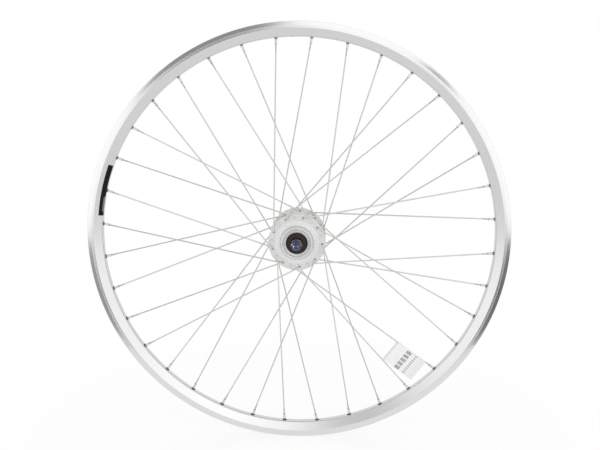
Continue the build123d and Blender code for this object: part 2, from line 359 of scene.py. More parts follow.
class Finish:
    """One material or world, built up node by node."""

    def __init__(self, tree):
        self.tree = tree

    @classmethod
    def of_material(cls, name):
        """Start a material on a plain shader, with each point's place and its polar place round the axle."""
        material = bpy.data.materials.new(name)
        material.use_nodes = True
        finish = cls(material.node_tree)
        finish.material = material
        finish.shader = material.node_tree.nodes["Principled BSDF"]
        finish.here = finish.node("ShaderNodeTexCoord", {}, {}, output="Object")
        x, finish.along, z = finish.split(finish.here)
        finish.radius = x.hypot(z)
        finish.angle = z.maths("ARCTAN2", x)
        return finish

    def feed(self, socket, value):
        """Link a value to a socket, or set the socket to a plain number or colour."""
        if isinstance(value, Value):
            self.tree.links.new(value.socket, socket)
        else:
            socket.default_value = value

    def node(self, kind, settings, sockets, output=0):
        """Add a node with its settings and sockets, and give one of its outputs."""
        node = self.tree.nodes.new(kind)
        for name, setting in settings.items():
            setattr(node, name, setting)
        for name, value in sockets.items():
            self.feed(node.inputs[name], value)
        return Value(self, node.outputs[output])

    def maths(self, operation, first, second):
        return self.node("ShaderNodeMath", {"operation": operation}, {0: first, 1: second})

    def split(self, vector):
        """The x, y and z of a vector."""
        x = self.node("ShaderNodeSeparateXYZ", {}, {"Vector": vector})
        return x, x.output("Y"), x.output("Z")

    def rise(self, value, low, high):
        """A smooth step from nought at low to one at high."""
        sockets = {"Value": value, "From Min": low, "From Max": high}
        return self.node("ShaderNodeMapRange", {"interpolation_type": "SMOOTHSTEP"}, sockets)

    def band(self, value, low, high, soft):
        """One between low and high, and nought outside."""
        return self.rise(value, low - soft, low + soft) * (1 - self.rise(value, high - soft, high + soft))

    def stripes(self, value, low, high, soft):
        """A band that comes again with every whole number."""
        return self.band(value.maths("FRACT"), low, high, soft)

    def blend(self, mask, first, second):
        """A colour that goes from the first to the second as the mask rises."""
        sockets = {0: mask, 6: first, 7: second}
        return self.node("ShaderNodeMix", {"data_type": "RGBA"}, sockets, output=2)

    def tinted(self, mask, plain, low, high):
        """A colour made a little darker and lighter by a mask."""
        dark = [low * channel for channel in plain[:3]]
        light = [min(1.0, high * channel) for channel in plain[:3]]
        return self.blend(mask, (*dark, 1.0), (*light, 1.0))

    def noise(self, scale, detail, vector=None):
        """Cloudy noise from nought to one, over the piece or another vector."""
        sockets = {"Vector": vector or self.here, "Scale": scale, "Detail": detail}
        return self.node("ShaderNodeTexNoise", {}, sockets)

    def rings(self, across, around, along, detail):
        """Noise drawn out round the axle, like the marks of a lathe."""
        sockets = {"X": self.radius * across, "Y": self.angle * around, "Z": self.along * along}
        return self.noise(1.0, detail, self.node("ShaderNodeCombineXYZ", {}, sockets))

    def bump(self, height, strength, distance):
        sockets = {"Height": height, "Strength": strength, "Distance": distance}
        return self.node("ShaderNodeBump", {}, sockets)

    def rays(self):
        """Whether a ray comes straight from the camera, and whether by way of a mirror or glass."""
        camera = self.node("ShaderNodeLightPath", {}, {}, output="Is Camera Ray")
        glossy = camera.output("Is Glossy Ray").maths("MAXIMUM", camera.output("Is Transmission Ray"))
        return camera, glossy

    def shade(self, **sockets):
        """Set the shader's sockets, named with an underscore for each space."""
        for name, value in sockets.items():
            self.feed(self.shader.inputs[name.replace("_", " ")], value)
        return self.material


def deselect_all():
    """Leave edit mode and select nothing."""
    if bpy.context.object and bpy.context.object.mode != "OBJECT":
        bpy.ops.object.mode_set(mode="OBJECT")
    bpy.ops.object.select_all(action="DESELECT")


def select_only(piece, *others):
    """Select some pieces, with the first one active."""
    deselect_all()
    for chosen in (piece, *others):
        chosen.select_set(True)
    bpy.context.view_layer.objects.active = piece


def edit(piece):
    """Go into edit mode on one piece with all of it selected."""
    select_only(piece)
    bpy.ops.object.mode_set(mode="EDIT")
    bpy.ops.mesh.select_all(action="SELECT")


def add(operator, name, **settings):
    """Add a new piece with one of Blender's operators."""
    deselect_all()
    operator(**settings)
    piece = bpy.context.object
    piece.name = name
    return piece


def modify(piece, kind, **settings):
    """Put a modifier on a piece and apply it."""
    select_only(piece)
    bpy.ops.object.modifier_add(type=kind)
    modifier = piece.modifiers[-1]
    for name, setting in settings.items():
        setattr(modifier, name, setting)
    bpy.ops.object.modifier_apply(modifier=modifier.name)


def close_seams(piece):
    """Merge doubled points and turn all faces outwards."""
    edit(piece)
    bpy.ops.mesh.remove_doubles(threshold=MERGE)
    bpy.ops.mesh.normals_make_consistent(inside=False)
    bpy.ops.object.mode_set(mode="OBJECT")


def settle(piece):
    """Put a piece's place, turn and size into its mesh."""
    select_only(piece)
    bpy.ops.object.transform_apply(location=True, rotation=True, scale=True)


def copy_to(master, place):
    """Copy a piece, with a mesh of its own, to another place."""
    select_only(master)
    bpy.ops.object.duplicate(linked=False)
    twin = bpy.context.object
    twin.matrix_world = place
    settle(twin)
    return twin


def join(name, pieces):
    """Join some pieces into one."""
    select_only(*pieces)
    bpy.ops.object.join()
    whole = bpy.context.object
    whole.name = name
    return whole


def repeat(name, master, places):
    """Join copies of a piece at all the places, and remove the piece itself."""
    copies = [copy_to(master, place) for place in places]
    bpy.data.objects.remove(master)
    return join(name, copies)


def combine(piece, tool, operation):
    """Cut a piece with a tool, or keep what both share, and remove the tool."""
    modify(piece, "BOOLEAN", operation=operation, solver="EXACT", object=tool)
    bpy.data.objects.remove(tool)


def hand_over(piece, material, body, slot, *nodes, crease=32):
    """Smooth and paint a finished piece, and seat it on its body in place of its plain nodes."""
    settle(piece)
    bpy.ops.object.shade_smooth_by_angle(angle=math.radians(crease))
    modify(piece, "WEIGHTED_NORMAL", keep_sharp=True)
    piece.data.materials.clear()
    piece.data.materials.append(material)
    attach(piece, body)
    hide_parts(*nodes)


def on_wheel(radius, angle, along=0.0):
    """Point at a radius, an angle and a distance along the axis."""
    return Vector((radius * math.cos(angle), along, radius * math.sin(angle)))


def frame_turn(across, up, along):
    """Turn that lays x, y and z along three directions."""
    return Matrix((across, up, along)).transposed().to_4x4()


def rounded(corners, steps=4):
    """Points of a closed outline whose corners are (radius, along, fillet)."""
    points = []
    for index, (radius, along, fillet) in enumerate(corners):
        here = Vector((radius, along, 0))
        if not fillet:
            points.append(here)
            continue
        before = Vector((*corners[index - 1][:2], 0))
        after = Vector((*corners[(index + 1) % len(corners)][:2], 0))
        back = (before - here).normalized()
        ahead = (after - here).normalized()
        half = back.angle(ahead) / 2
        centre = here + (back + ahead).normalized() * fillet / math.sin(half)
        first = here + back * fillet / math.tan(half) - centre
        last = here + ahead * fillet / math.tan(half) - centre
        for step in range(steps + 1):
            points.append(centre + first.lerp(last, step / steps).normalized() * fillet)
    return points


def on_side(side, corners):
    """Corners drawn for the right of the wheel, put on one of its sides."""
    return [(radius, side * along, fillet) for radius, along, fillet in corners]


def mirrored(half):
    """Corners of a whole outline from those of its half on the right."""
    return half + on_side(LEFT, reversed(half))


def draw_wire(name, points):
    """Draw a wire from point to point, one extrusion at a time."""
    wire = add(bpy.ops.mesh.primitive_plane_add, name, size=MM)
    bpy.ops.object.mode_set(mode="EDIT")
    bpy.ops.mesh.merge(type="CENTER")
    bpy.ops.transform.translate(value=points[0])
    for here, there in zip(points, points[1:]):
        bpy.ops.mesh.extrude_vertices_move(TRANSFORM_OT_translate={"value": there - here})
    bpy.ops.object.mode_set(mode="OBJECT")
    return wire


def turned(name, points, steps, closed=True):
    """Spin a section, drawn as radius and distance along the axis, into a turned piece."""
    piece = draw_wire(name, points + points[:1] if closed else points)
    edit(piece)
    bpy.ops.mesh.remove_doubles(threshold=MERGE)
    bpy.ops.mesh.select_all(action="SELECT")
    bpy.ops.mesh.spin(steps=steps, angle=math.tau, center=(0, 0, 0), axis=SPIN_AXIS)
    close_seams(piece)
    return piece


def drill(diameter, start, end, sides=32):
    """A round cutter from one point to another."""
    run = end - start
    return add(
        bpy.ops.mesh.primitive_cylinder_add,
        "drill",
        vertices=sides,
        radius=diameter / 2,
        depth=run.length,
        location=(start + end) / 2,
        rotation=run.to_track_quat("Z", "Y").to_euler(),
    )


class Lace:
    """One spoke's run from its head in the flange, round its elbow, to its nipple in the rim."""

    seat_gap = 0.05 * MM
    hole_gap = 0.2 * MM
    # How far the corners of a six-sided spoke of the same section reach, against a round one
    hexagon_reach = 1.0996

    def __init__(self, scene, index):
        lacing = scene.wheel_lacing
        rim = scene.wheel_rim
        hub = scene.wheel_hub
        self.rim_angle = lacing.first_angle + index * lacing.pitch
        self.side = LEFT if index % 2 == 0 else RIGHT
        self.outside = index % 4 in (0, 3)
        lead = 2 * lacing.pitch * lacing.crossings
        self.hub_angle = self.rim_angle + (lead if self.outside else -lead)
        lift = lacing.nipple_head / 2 * math.sin(lacing.tilt_room) + self.seat_gap
        self.seat = on_wheel(rim.bed + rim.bed_wall + lift, self.rim_angle)
        self.hole = on_wheel(hub.hole_circle, self.hub_angle)
        self.elbow = self.hole + self.side * self.elbow_height(lacing, hub) * SPIN_AXIS
        self.direction = (self.seat - self.elbow).normalized()
        head_along = hub.flange_inner if self.outside else hub.flange_outer
        self.facing = (self.side if self.outside else -self.side) * SPIN_AXIS
        self.head = self.hole + self.side * head_along * SPIN_AXIS

    def elbow_height(self, lacing, hub):
        """Distance from the wheel's middle to the elbow's corner, clear of the flange and its edge."""
        if not self.outside:
            return hub.flange_inner - lacing.elbow - self.hole_gap
        run = self.seat - self.hole
        outward = run.normalized().dot(on_wheel(1, self.hub_angle)) * hub.hole_circle
        edge_run = math.sqrt(outward**2 + hub.flange**2 - hub.hole_circle**2) - outward
        clear_of_edge = hub.flange_outer + self.hexagon_reach * lacing.spoke / 2 + self.seat_gap
        return clear_of_edge / (1 - edge_run / run.length)

    def nipple_place(self):
        """Place of the nipple, its axis along the spoke."""
        across = self.direction.cross(SPIN_AXIS).normalized()
        upright = across.cross(self.direction)
        turn_in = frame_turn(upright, self.direction, upright.cross(self.direction))
        return Matrix.Translation(self.seat) @ turn_in


def rim_finish(rim, lacing):
    """Satin alloy with a bright turned brake track, a dark ring round each nipple hole, and unpolished walls
    in its hollow that are darkened by painted shade.
    """
    finish = Finish.of_material("rim_satin_and_turned_alloy")
    radius = finish.radius
    along = abs(finish.along)
    slope = rim.bed_width / 2 + rim.lean * (radius - rim.bed)
    under_skin = finish.rise(slope - along, 0.7 * rim.side_wall, 0.9 * rim.side_wall)
    floor = rim.bed + 0.7 * rim.bed_wall
    # The hollow's walls take a dark colour that is partly unpolished alloy and partly painted shade.
    hollow = under_skin * finish.band(radius, floor, rim.well - rim.well_wall / 2, 0.1 * MM)
    turns = (finish.angle - lacing.first_angle) / lacing.pitch + 0.5
    aside = (turns.maths("FRACT") - 0.5) * (lacing.pitch * rim.bed)
    # A dark ring, raised a little by the bump, round each nipple hole.
    hole_ring = finish.rise(aside.hypot(finish.along), rim.hole_ring / 2, rim.hole_ring / 2 - 0.3 * MM)
    hole_ring = hole_ring * finish.rise(radius, rim.bed + 2.2 * MM, rim.bed + 1.8 * MM)
    side_face = finish.rise(along, rim.width / 2 - 0.4 * MM, rim.width / 2 - 0.2 * MM)
    track = finish.rise(radius, rim.track - 0.2 * MM, rim.track + 0.2 * MM) * side_face
    wear = rim.radius - rim.wear_line
    outer = finish.rise(radius, wear, wear + MM)
    lines = finish.rings(3800, 5, 1200, 4.0)
    grain = finish.noise(900.0, 2.0)
    satin = finish.tinted(finish.noise(14.0, 2.0), rim.satin, 0.97, 1.02)
    bright = finish.tinted(lines, rim.turned, 0.92, 1.05)
    skin = finish.blend(track, satin, bright)
    skin = finish.blend(hole_ring, skin, rim.hole_ring_colour)
    satin_rough = 0.22 + 0.06 * grain + 0.2 * hollow
    track_rough = 0.14 - 0.07 * outer + 0.04 * lines
    return finish.shade(
        Base_Color=finish.blend(hollow, skin, rim.raw_and_shade),
        Metallic=1.0,
        Roughness=satin_rough + track * (track_rough - satin_rough),
        Normal=finish.bump(lines * (0.25 + track) + 0.15 * grain + 4.0 * hole_ring, 0.08, 0.05 * MM),
    )


def spoke_finish(lacing, rim):
    """Drawn steel, a little uneven along its length and dull on the thread by the nipple."""
    finish = Finish.of_material("spoke_drawn_steel")
    thread_end = rim.bed - lacing.thread
    thread = finish.rise(finish.radius, thread_end - MM, thread_end)
    grain = finish.noise(2500.0, 2.0)
    drawn = finish.tinted(finish.noise(60.0, 3.0), lacing.steel, 0.88, 1.12)
    return finish.shade(
        Base_Color=finish.blend(0.35 * thread, drawn, lacing.brass_and_shade),
        Metallic=1.0,
        Roughness=0.14 + 0.08 * grain + 0.2 * thread,
        Normal=finish.bump(grain, 0.05, 0.02 * MM),
    )


def nipple_finish(lacing, rim):
    """Plating that has gone thin and brown at the roots, and painted shade at the inner end."""
    finish = Finish.of_material("nipple_worn_plating")
    radius = finish.radius
    patches = finish.noise(700.0, 3.0)
    root = finish.rise(radius + 1.5 * MM * patches, rim.bed - 2 * MM, rim.bed - 0.5 * MM)
    tip_end = rim.bed + rim.bed_wall - lacing.nipple_length
    # Painted shade at the nipple's inner end, where the spoke goes in.
    tip_shade = finish.rise(radius, tip_end + 2.2 * MM, tip_end + 1.2 * MM)
    plating = finish.tinted(patches, lacing.plating, 0.88, 1.1)
    return finish.shade(
        Base_Color=finish.blend(root.maths("MAXIMUM", 0.4 * tip_shade), plating, lacing.brass_and_shade),
        Metallic=1.0,
        Roughness=0.26 + 0.2 * patches,
        Normal=finish.bump(patches, 0.08, 0.05 * MM),
    )


def hub_finish(hub):
    """Satin alloy with fine turning rings, and painted shade in the groove and on the sides of the bosses.
    """
    finish = Finish.of_material("hub_satin_alloy")
    radius = finish.radius
    along = abs(finish.along)
    rings = finish.rings(2600, 2, 2600, 3.0)
    grain = finish.noise(1400.0, 2.0)
    clouds = finish.noise(45.0, 2.0)
    disc = finish.rise(radius, hub.step + 0.6 * MM, hub.step - 0.2 * MM)
    inside = finish.rise(along, hub.flange_inner + 0.5 * MM, hub.flange_inner + 0.1 * MM)
    # Painted shade: the sides of the end bosses and their grooves are blended towards the shade colour.
    boss_side_shade = finish.band(radius, hub.boss + 0.4 * MM, hub.boss_foot, 0.3 * MM)
    ring = finish.band(radius, hub.lip, hub.groove, 0.3 * MM)
    on_boss = finish.rise(along, hub.flange_middle + 3 * MM, hub.flange_middle + 4 * MM)
    painted_shade = (0.15 * boss_side_shade + 0.32 * ring) * on_boss
    flange = finish.tinted(clouds, hub.dull, 0.97, 1.03)
    skin = finish.blend(disc, flange, finish.tinted(clouds, hub.satin, 0.97, 1.03))
    return finish.shade(
        Base_Color=finish.blend(painted_shade, skin, hub.shade),
        Metallic=0.65 - 0.45 * inside,
        Roughness=0.36 + 0.10 * grain + 0.2 * inside,
        Normal=finish.bump(rings + 0.5 * grain, 0.12, 0.05 * MM),
    )


def steel_finish(bearing):
    """Ground steel with turning marks and a little brown film."""
    finish = Finish.of_material("bearing_ground_steel")
    patches = finish.noise(320.0, 3.0)
    return finish.shade(
        Base_Color=finish.tinted(patches, bearing.steel, 0.7, 1.25),
        Metallic=1.0,
        Roughness=0.26 + 0.2 * patches,
        Normal=finish.bump(finish.rings(5000, 2, 5000, 2.0), 0.15, 0.04 * MM),
    )


def rubber_finish(bearing):
    """Matt black rubber, a little dusty."""
    finish = Finish.of_material("seal_black_rubber")
    grain = finish.noise(3000.0, 2.0)
    return finish.shade(
        Base_Color=finish.tinted(finish.noise(260.0, 3.0), bearing.rubber, 0.7, 1.7),
        Roughness=0.5 + 0.2 * grain,
        Normal=finish.bump(grain, 0.2, 0.05 * MM),
    )


def plastic_finish(bearing):
    """Glossy blue moulded plastic."""
    finish = Finish.of_material("cap_blue_plastic")
    grain = finish.noise(2200.0, 2.0)
    return finish.shade(
        Base_Color=finish.tinted(finish.noise(150.0, 2.0), bearing.plastic, 0.85, 1.2),
        Roughness=0.10 + 0.06 * grain,
        Specular_IOR_Level=0.6,
        Coat_Weight=0.3,
        Coat_Roughness=0.08,
        Normal=finish.bump(grain, 0.06, 0.03 * MM),
    )


def film_finish(trim, rim):
    """Black sticker film with one grey band along part of its inner edge."""
    finish = Finish.of_material("sticker_black_film")
    across = (finish.radius - (rim.bed + trim.decal_inset)) / trim.decal_width
    down = (finish.angle - trim.decal_top) / trim.decal_length
    band = finish.band(across, 0.0, 0.30, 0.03) * finish.band(down, 0.63, 0.92, 0.01)
    rub = finish.noise(420.0, 4.0)
    worn = finish.tinted(rub, trim.film_colour, 0.75, 1.5)
    return finish.shade(
        Base_Color=finish.blend(band, worn, trim.band_colour),
        Roughness=0.42 + 0.18 * rub,
        Specular_IOR_Level=0.05,
        Normal=finish.bump(rub, 0.05, 0.05 * MM),
    )


def paper_finish(trim):
    """White paper with plain bars, a row of small blocks, a grey line at one end and painted shade towards
    its foot.
    """
    finish = Finish.of_material("tag_printed_paper")
    across, along, _ = finish.split(finish.node("ShaderNodeUVMap", {"uv_map": "print"}, {}))
    fibres = finish.noise(900.0, 4.0)
    group = finish.stripes(across * 5.1 + 0.93, 0.06, 0.80, 0.01)
    wide = finish.stripes(across * 21.6, 0.10, 0.62, 0.03)
    thin = finish.stripes(across * 37.0 + 0.4, 0.10, 0.50, 0.03)
    margin = finish.band(across, 0.02, 0.96, 0.004)
    bars = group * wide.maths("MAXIMUM", thin) * margin * finish.band(along, 0.455, 0.615, 0.004)
    blocks = finish.stripes(across * 9.2, 0.15, 0.72, 0.05)
    blocks = blocks * margin * finish.band(along, 0.275, 0.345, 0.006)
    edge = finish.band(along, 0.945, 0.992, 0.012)
    paper = finish.tinted(finish.noise(70.0, 2.0), trim.paper_colour, 0.975, 1.015)
    # Painted shade, greying the paper towards the tag's foot.
    shaded_paper = finish.tinted(fibres, trim.paper_shade, 0.97, 1.03)
    paper = finish.blend(0.3 * finish.rise(along, 0.45, 0.05), paper, shaded_paper)
    printed = 0.85 * bars + 0.55 * blocks + 0.22 * edge
    return finish.shade(
        Base_Color=finish.blend(printed, paper, trim.ink),
        Roughness=0.62 + 0.15 * fibres,
        Normal=finish.bump(fibres, 0.12, 0.05 * MM),
    )


class WHEEL_OT_rim(bpy.types.Operator):
    """Turn the hollow rim and drill it for the nipples, their tools and the valve"""

    bl_idname = "wheel.rim"
    bl_label = "Rim"

    hook_height = 1.7 * MM
    hook_lip = 0.6 * MM
    hook_undercut = 0.8 * MM
    seat_fall = 0.4 * MM
    seat_round = 0.6 * MM
    well_shoulder = 1.6 * MM
    well_round = 1.0 * MM
    hollow_round = 1.5 * MM
    edge_lean = 0.06 * MM
    drill_reach = 3 * MM

    def outline(self, rim):
        """Corners of the outside of the rim's section."""
        wear = rim.radius - rim.wear_line
        half = rim.width / 2
        inner = rim.inner_width / 2
        return mirrored([
            (rim.bed, rim.bed_width / 2, rim.bed_round),
            (rim.track, half, FINE),
            (wear - rim.wear_width / 2, half, 0),
            (wear - rim.wear_width / 4, half - rim.wear_depth, 0),
            (wear + rim.wear_width / 4, half - rim.wear_depth, 0),
            (wear + rim.wear_width / 2, half, 0),
            (rim.radius, half - self.edge_lean, rim.edge_round),
            (rim.radius, inner + self.hook_lip, rim.edge_round),
            (rim.radius - self.hook_height, inner, rim.edge_round),
            (rim.seat, inner + self.hook_undercut, self.seat_round),
            (rim.seat - self.seat_fall, rim.well_width / 2 + self.well_shoulder, self.seat_round),
            (rim.well, rim.well_width / 2, self.well_round),
        ])

    def cavity(self, rim):
        """Corners of the hollow in the rim's section."""
        floor_half = rim.bed_width / 2 + rim.lean * rim.bed_wall - rim.side_wall
        roof_half = rim.width / 2 - rim.side_wall
        return mirrored([
            (rim.bed + rim.bed_wall, floor_half, self.hollow_round),
            (rim.seat - self.seat_fall - rim.well_wall, roof_half, self.well_round),
            (rim.well - rim.well_wall, rim.well_width / 2, self.well_round),
        ])

    def bore(self, diameter, low, high, angle):
        """A cutter that runs out past a wall on both sides."""
        return drill(
            diameter, on_wheel(low - self.drill_reach, angle), on_wheel(high + self.drill_reach, angle)
        )

    def holes(self, rim, lacing):
        """One cutter for all the holes of the rim."""
        cutters = []
        for index in range(lacing.spokes):
            angle = lacing.first_angle + index * lacing.pitch
            cutters.append(self.bore(rim.nipple_hole, rim.bed, rim.bed + rim.bed_wall, angle))
            cutters.append(self.bore(rim.access_hole, rim.well - rim.well_wall, rim.well, angle))
        valve = lacing.first_angle + (lacing.valve_gap + 0.5) * lacing.pitch
        cutters.append(self.bore(rim.valve_hole, rim.bed, rim.well, valve))
        return join("rim_holes", cutters)

    def execute(self, context):
        rim = context.scene.wheel_rim
        lacing = context.scene.wheel_lacing
        shell = turned("wheel_rim", rounded(self.outline(rim), steps=6), rim.steps)
        hollow = turned("rim_hollow", rounded(self.cavity(rim)), rim.steps)
        edit(hollow)
        bpy.ops.mesh.flip_normals()
        piece = join("wheel_rim", [shell, hollow])
        combine(piece, self.holes(rim, lacing), "DIFFERENCE")
        hand_over(piece, rim_finish(rim, lacing), WHEEL, "rim_alloy", "rim")
        return {"FINISHED"}


class WHEEL_OT_nipples(bpy.types.Operator):
    """Turn one nipple, mill its four flats, and set a copy on every spoke"""

    bl_idname = "wheel.nipples"
    bl_label = "Nipples"

    steps = 20
    bore_gap = 0.03 * MM
    neck = 0.2 * MM
    seat_rise = 0.1 * MM
    end_round = 0.35 * MM
    head_round = 1.2 * MM
    flat_share = 0.55
    flat_from_end = 0.6 * MM
    mill_width = 2 * MM

    def make_nipple(self, lacing):
        """One nipple on the middle of the scene, its axis along Y."""
        body = lacing.nipple / 2
        bore = lacing.spoke / 2 + self.bore_gap
        end = -lacing.nipple_length
        head = lacing.nipple_head / 2
        top = lacing.nipple_head_height
        section = rounded([
            (bore, end, 0),
            (body, end, self.end_round),
            (body, -self.neck, FINE),
            (head, self.seat_rise, FINE),
            (head, top, self.head_round),
            (bore, top, 0),
        ], steps=3)
        nipple = turned("nipple", section, self.steps)
        flat_length = self.flat_share * lacing.nipple_length
        out = (lacing.nipple_flats + self.mill_width) / 2
        middle = Matrix.Translation((out, end + self.flat_from_end + flat_length / 2, 0))
        block = middle @ Matrix.Diagonal((self.mill_width, flat_length, 2 * lacing.nipple, 1))
        quarters = [Matrix.Rotation(quarter * math.pi / 2, 4, "Y") @ block for quarter in range(4)]
        mill = add(bpy.ops.mesh.primitive_cube_add, "mill", size=1)
        combine(nipple, repeat("nipple_flats", mill, quarters), "DIFFERENCE")
        return nipple

    def execute(self, context):
        scene = context.scene
        lacing = scene.wheel_lacing
        places = [Lace(scene, index).nipple_place() for index in range(lacing.spokes)]
        piece = repeat("wheel_nipples", self.make_nipple(lacing), places)
        finish = nipple_finish(lacing, scene.wheel_rim)
        hand_over(piece, finish, WHEEL, "nipple_plating", "nipples")
        return {"FINISHED"}


class WHEEL_OT_spokes(bpy.types.Operator):
    """Form the four kinds of spoke by extrusion and copy them round the wheel"""

    bl_idname = "wheel.spokes"
    bl_label = "Spokes"

    sides = 14
    elbow_steps = 7
    kinds = 4
    # The head's height and width at each of its rings, from its top to its foot
    head_rounds = ((1.0, 0.55), (0.9, 0.78), (0.68, 0.95), (0.35, 1.0), (0.12, 0.84))

    def grow(self, move, centre=None, size=1):
        """Extrude the end face and change its size."""
        bpy.ops.mesh.extrude_region_move(TRANSFORM_OT_translate={"value": move})
        if centre:
            bpy.ops.transform.resize(value=(size, size, size), center_override=centre)

    def form(self, name, lace, lacing):
        """One spoke from its head, round its elbow, to its end inside the nipple."""
        stations = []
        for height, width in self.head_rounds:
            stations.append((lace.head - lace.facing * height * lacing.head_height, width * lacing.head / 2))
        elbow_start = lace.elbow - lace.facing * lacing.elbow
        stations.append((lace.head, lacing.spoke / 2))
        stations.append((elbow_start, lacing.spoke / 2))
        spoke = add(
            bpy.ops.mesh.primitive_circle_add,
            name,
            vertices=self.sides,
            radius=stations[0][1],
            fill_type="NGON",
            location=stations[0][0],
            rotation=lace.facing.to_track_quat("Z", "Y").to_euler(),
        )
        settle(spoke)
        edit(spoke)
        for (here, wide), (there, wider) in zip(stations, stations[1:]):
            self.grow(there - here, there, wider / wide)
        bend = lace.facing.angle(lace.direction)
        bend_radius = lacing.elbow / math.tan(bend / 2)
        inward = (lace.direction - lace.facing * lace.direction.dot(lace.facing)).normalized()
        bpy.ops.mesh.spin(
            steps=self.elbow_steps,
            angle=-bend,
            center=elbow_start + inward * bend_radius,
            axis=lace.facing.cross(inward),
        )
        shaft_start = lace.elbow + lace.direction * lacing.elbow
        shaft_end = lace.seat - lace.direction * lacing.nipple_length / 2
        self.grow(shaft_end - shaft_start)
        close_seams(spoke)
        return spoke

    def execute(self, context):
        scene = context.scene
        lacing = scene.wheel_lacing
        finish = spoke_finish(lacing, scene.wheel_rim)
        masters = []
        for kind in range(self.kinds):
            masters.append(self.form(f"spoke_kind_{kind}", Lace(scene, kind), lacing))
        for index in range(lacing.spokes):
            kind = index % self.kinds
            spoke = copy_to(masters[kind], Matrix.Rotation((kind - index) * lacing.pitch, 4, "Y"))
            spoke.name = f"wheel_spoke_{index + 1:02d}"
            hand_over(spoke, finish, WHEEL, "spoke_steel", f"spoke_{index + 1:02d}")
        for master in masters:
            bpy.data.objects.remove(master)
        return {"FINISHED"}


class WHEEL_OT_hub_shell(bpy.types.Operator):
    """Turn the hub shell with its flanges and bosses, and drill its spoke holes"""

    bl_idname = "wheel.hub_shell"
    bl_label = "Hub shell"

    steps = 192
    hole_sides = 20
    step_height = 0.8 * MM
    boss_rise = 0.6 * MM
    boss_setback = 1.0 * MM
    boss_foot_round = 1.2 * MM
    flange_root_round = 1.5 * MM
    barrel_round = 3 * MM
    groove_depth = 1.3 * MM
    lip_fall = 0.9 * MM
    mouth_depth = 7 * MM
    race_length = 5.5 * MM
    cup_mouth = 14.2 * MM
    cup_throat = 11 * MM
    cup_base = 3 * MM
    inner_bore = 17 * MM

    def outline(self, hub):
        """Corners of the hub's section."""
        end = hub.half_width
        shoulder = end - self.mouth_depth
        race_end = shoulder - self.race_length
        boss_end = end - self.boss_setback
        face = hub.flange_outer + self.step_height
        return mirrored([
            (self.inner_bore, race_end - self.cup_base, 0),
            (self.cup_throat, race_end - self.cup_base, 0),
            (self.cup_throat, race_end, SOFT),
            (self.cup_mouth, shoulder, 0),
            (hub.bore, shoulder, 0),
            (hub.bore, end - self.lip_fall, FINE),
            (hub.lip, end, PLAIN),
            (hub.groove_floor, boss_end - self.groove_depth, PLAIN),
            (hub.groove, boss_end, FINE),
            (hub.boss, boss_end, BLUNT),
            (hub.boss_foot, face + self.boss_rise, self.boss_foot_round),
            (hub.step, face, FINE),
            (hub.step, hub.flange_outer, FINE),
            (hub.flange, hub.flange_outer, SOFT),
            (hub.flange, hub.flange_inner, SOFT),
            (hub.flange_foot, hub.flange_inner, self.flange_root_round),
            (hub.barrel, hub.barrel_half, self.barrel_round),
        ])

    def execute(self, context):
        scene = context.scene
        hub = scene.wheel_hub
        piece = turned("wheel_hub_shell", rounded(self.outline(hub)), self.steps)
        reach = hub.flange_thickness * SPIN_AXIS
        holes = []
        for index in range(scene.wheel_lacing.spokes):
            lace = Lace(scene, index)
            middle = lace.hole + lace.side * hub.flange_middle * SPIN_AXIS
            holes.append(drill(hub.hole, middle - reach, middle + reach, sides=self.hole_sides))
        combine(piece, join("spoke_holes", holes), "DIFFERENCE")
        hand_over(piece, hub_finish(hub), WHEEL, "hub_alloy", "hub_shell")
        return {"FINISHED"}


class WHEEL_OT_bearings(bpy.types.Operator):
    """Make the balls, cones and dust seals of both sides"""

    bl_idname = "wheel.bearings"
    bl_label = "Bearings"

    steps = 96
    ball_steps = 16
    ball_place = 27.3 * MM
    race_round = 1.0 * MM
    seal_rim = 1.2 * MM
    seal_lip_width = 1.4 * MM
    seal_hollow = 0.7 * MM

    def make_balls(self, bearing, side, name):
        """A ring of loose balls."""
        arc = []
        half = self.ball_steps // 2
        for step in range(half + 1):
            angle = math.pi * step / half
            arc.append(Vector((bearing.ball * math.sin(angle), -bearing.ball * math.cos(angle), 0)))
        master = turned("ball", arc, self.ball_steps, closed=False)
        places = []
        for index in range(bearing.balls):
            middle = on_wheel(bearing.ball_circle, math.tau * index / bearing.balls, side * self.ball_place)
            places.append(Matrix.Translation(middle))
        return repeat(f"wheel_balls_{name}", master, places)

    def make_cone(self, bearing, side, name):
        """A ball cone with a hollow race."""
        start = CONE_LOW.y
        end = CONE_HIGH.y
        section = rounded(on_side(side, [
            (bearing.bore, start, 0),
            (bearing.cone_nose, start, FINE),
            (bearing.cone, start + bearing.cone_race, self.race_round),
            (bearing.cone, end, PLAIN),
            (bearing.bore, end, 0),
        ]))
        return turned(f"wheel_cone_{name}", section, self.steps)

    def make_seal(self, bearing, side, name):
        """A rubber seal with a raised rim, a hollow face and a thin lip."""
        inner = bearing.seal_lip
        outer = SEAL_HIGH.x
        back = SEAL_LOW.y
        front = SEAL_HIGH.y
        face = front - self.seal_hollow
        section = rounded(on_side(side, [
            (inner, back, 0),
            (outer, back, 0),
            (outer, front, FINE),
            (outer - self.seal_rim, front, FINE),
            (outer - 2 * self.seal_rim, face, PLAIN),
            (inner + 2 * self.seal_lip_width, face, PLAIN),
            (inner + self.seal_lip_width, front, FINE),
            (inner, front, PLAIN),
        ]), steps=3)
        return turned(f"wheel_seal_{name}", section, self.steps)

    def execute(self, context):
        bearing = context.scene.wheel_bearing
        steel = steel_finish(bearing)
        rubber = rubber_finish(bearing)
        for side, name in SIDES:
            balls = self.make_balls(bearing, side, name)
            hand_over(balls, steel, WHEEL, "bearing_steel", f"bearing_balls_{name}")
            cone = self.make_cone(bearing, side, name)
            hand_over(cone, steel, AXLE_SET, "bearing_steel", f"cone_{name}")
            seal = self.make_seal(bearing, side, name)
            hand_over(seal, rubber, WHEEL, "seal_rubber", f"dust_seal_{name}")
        return {"FINISHED"}


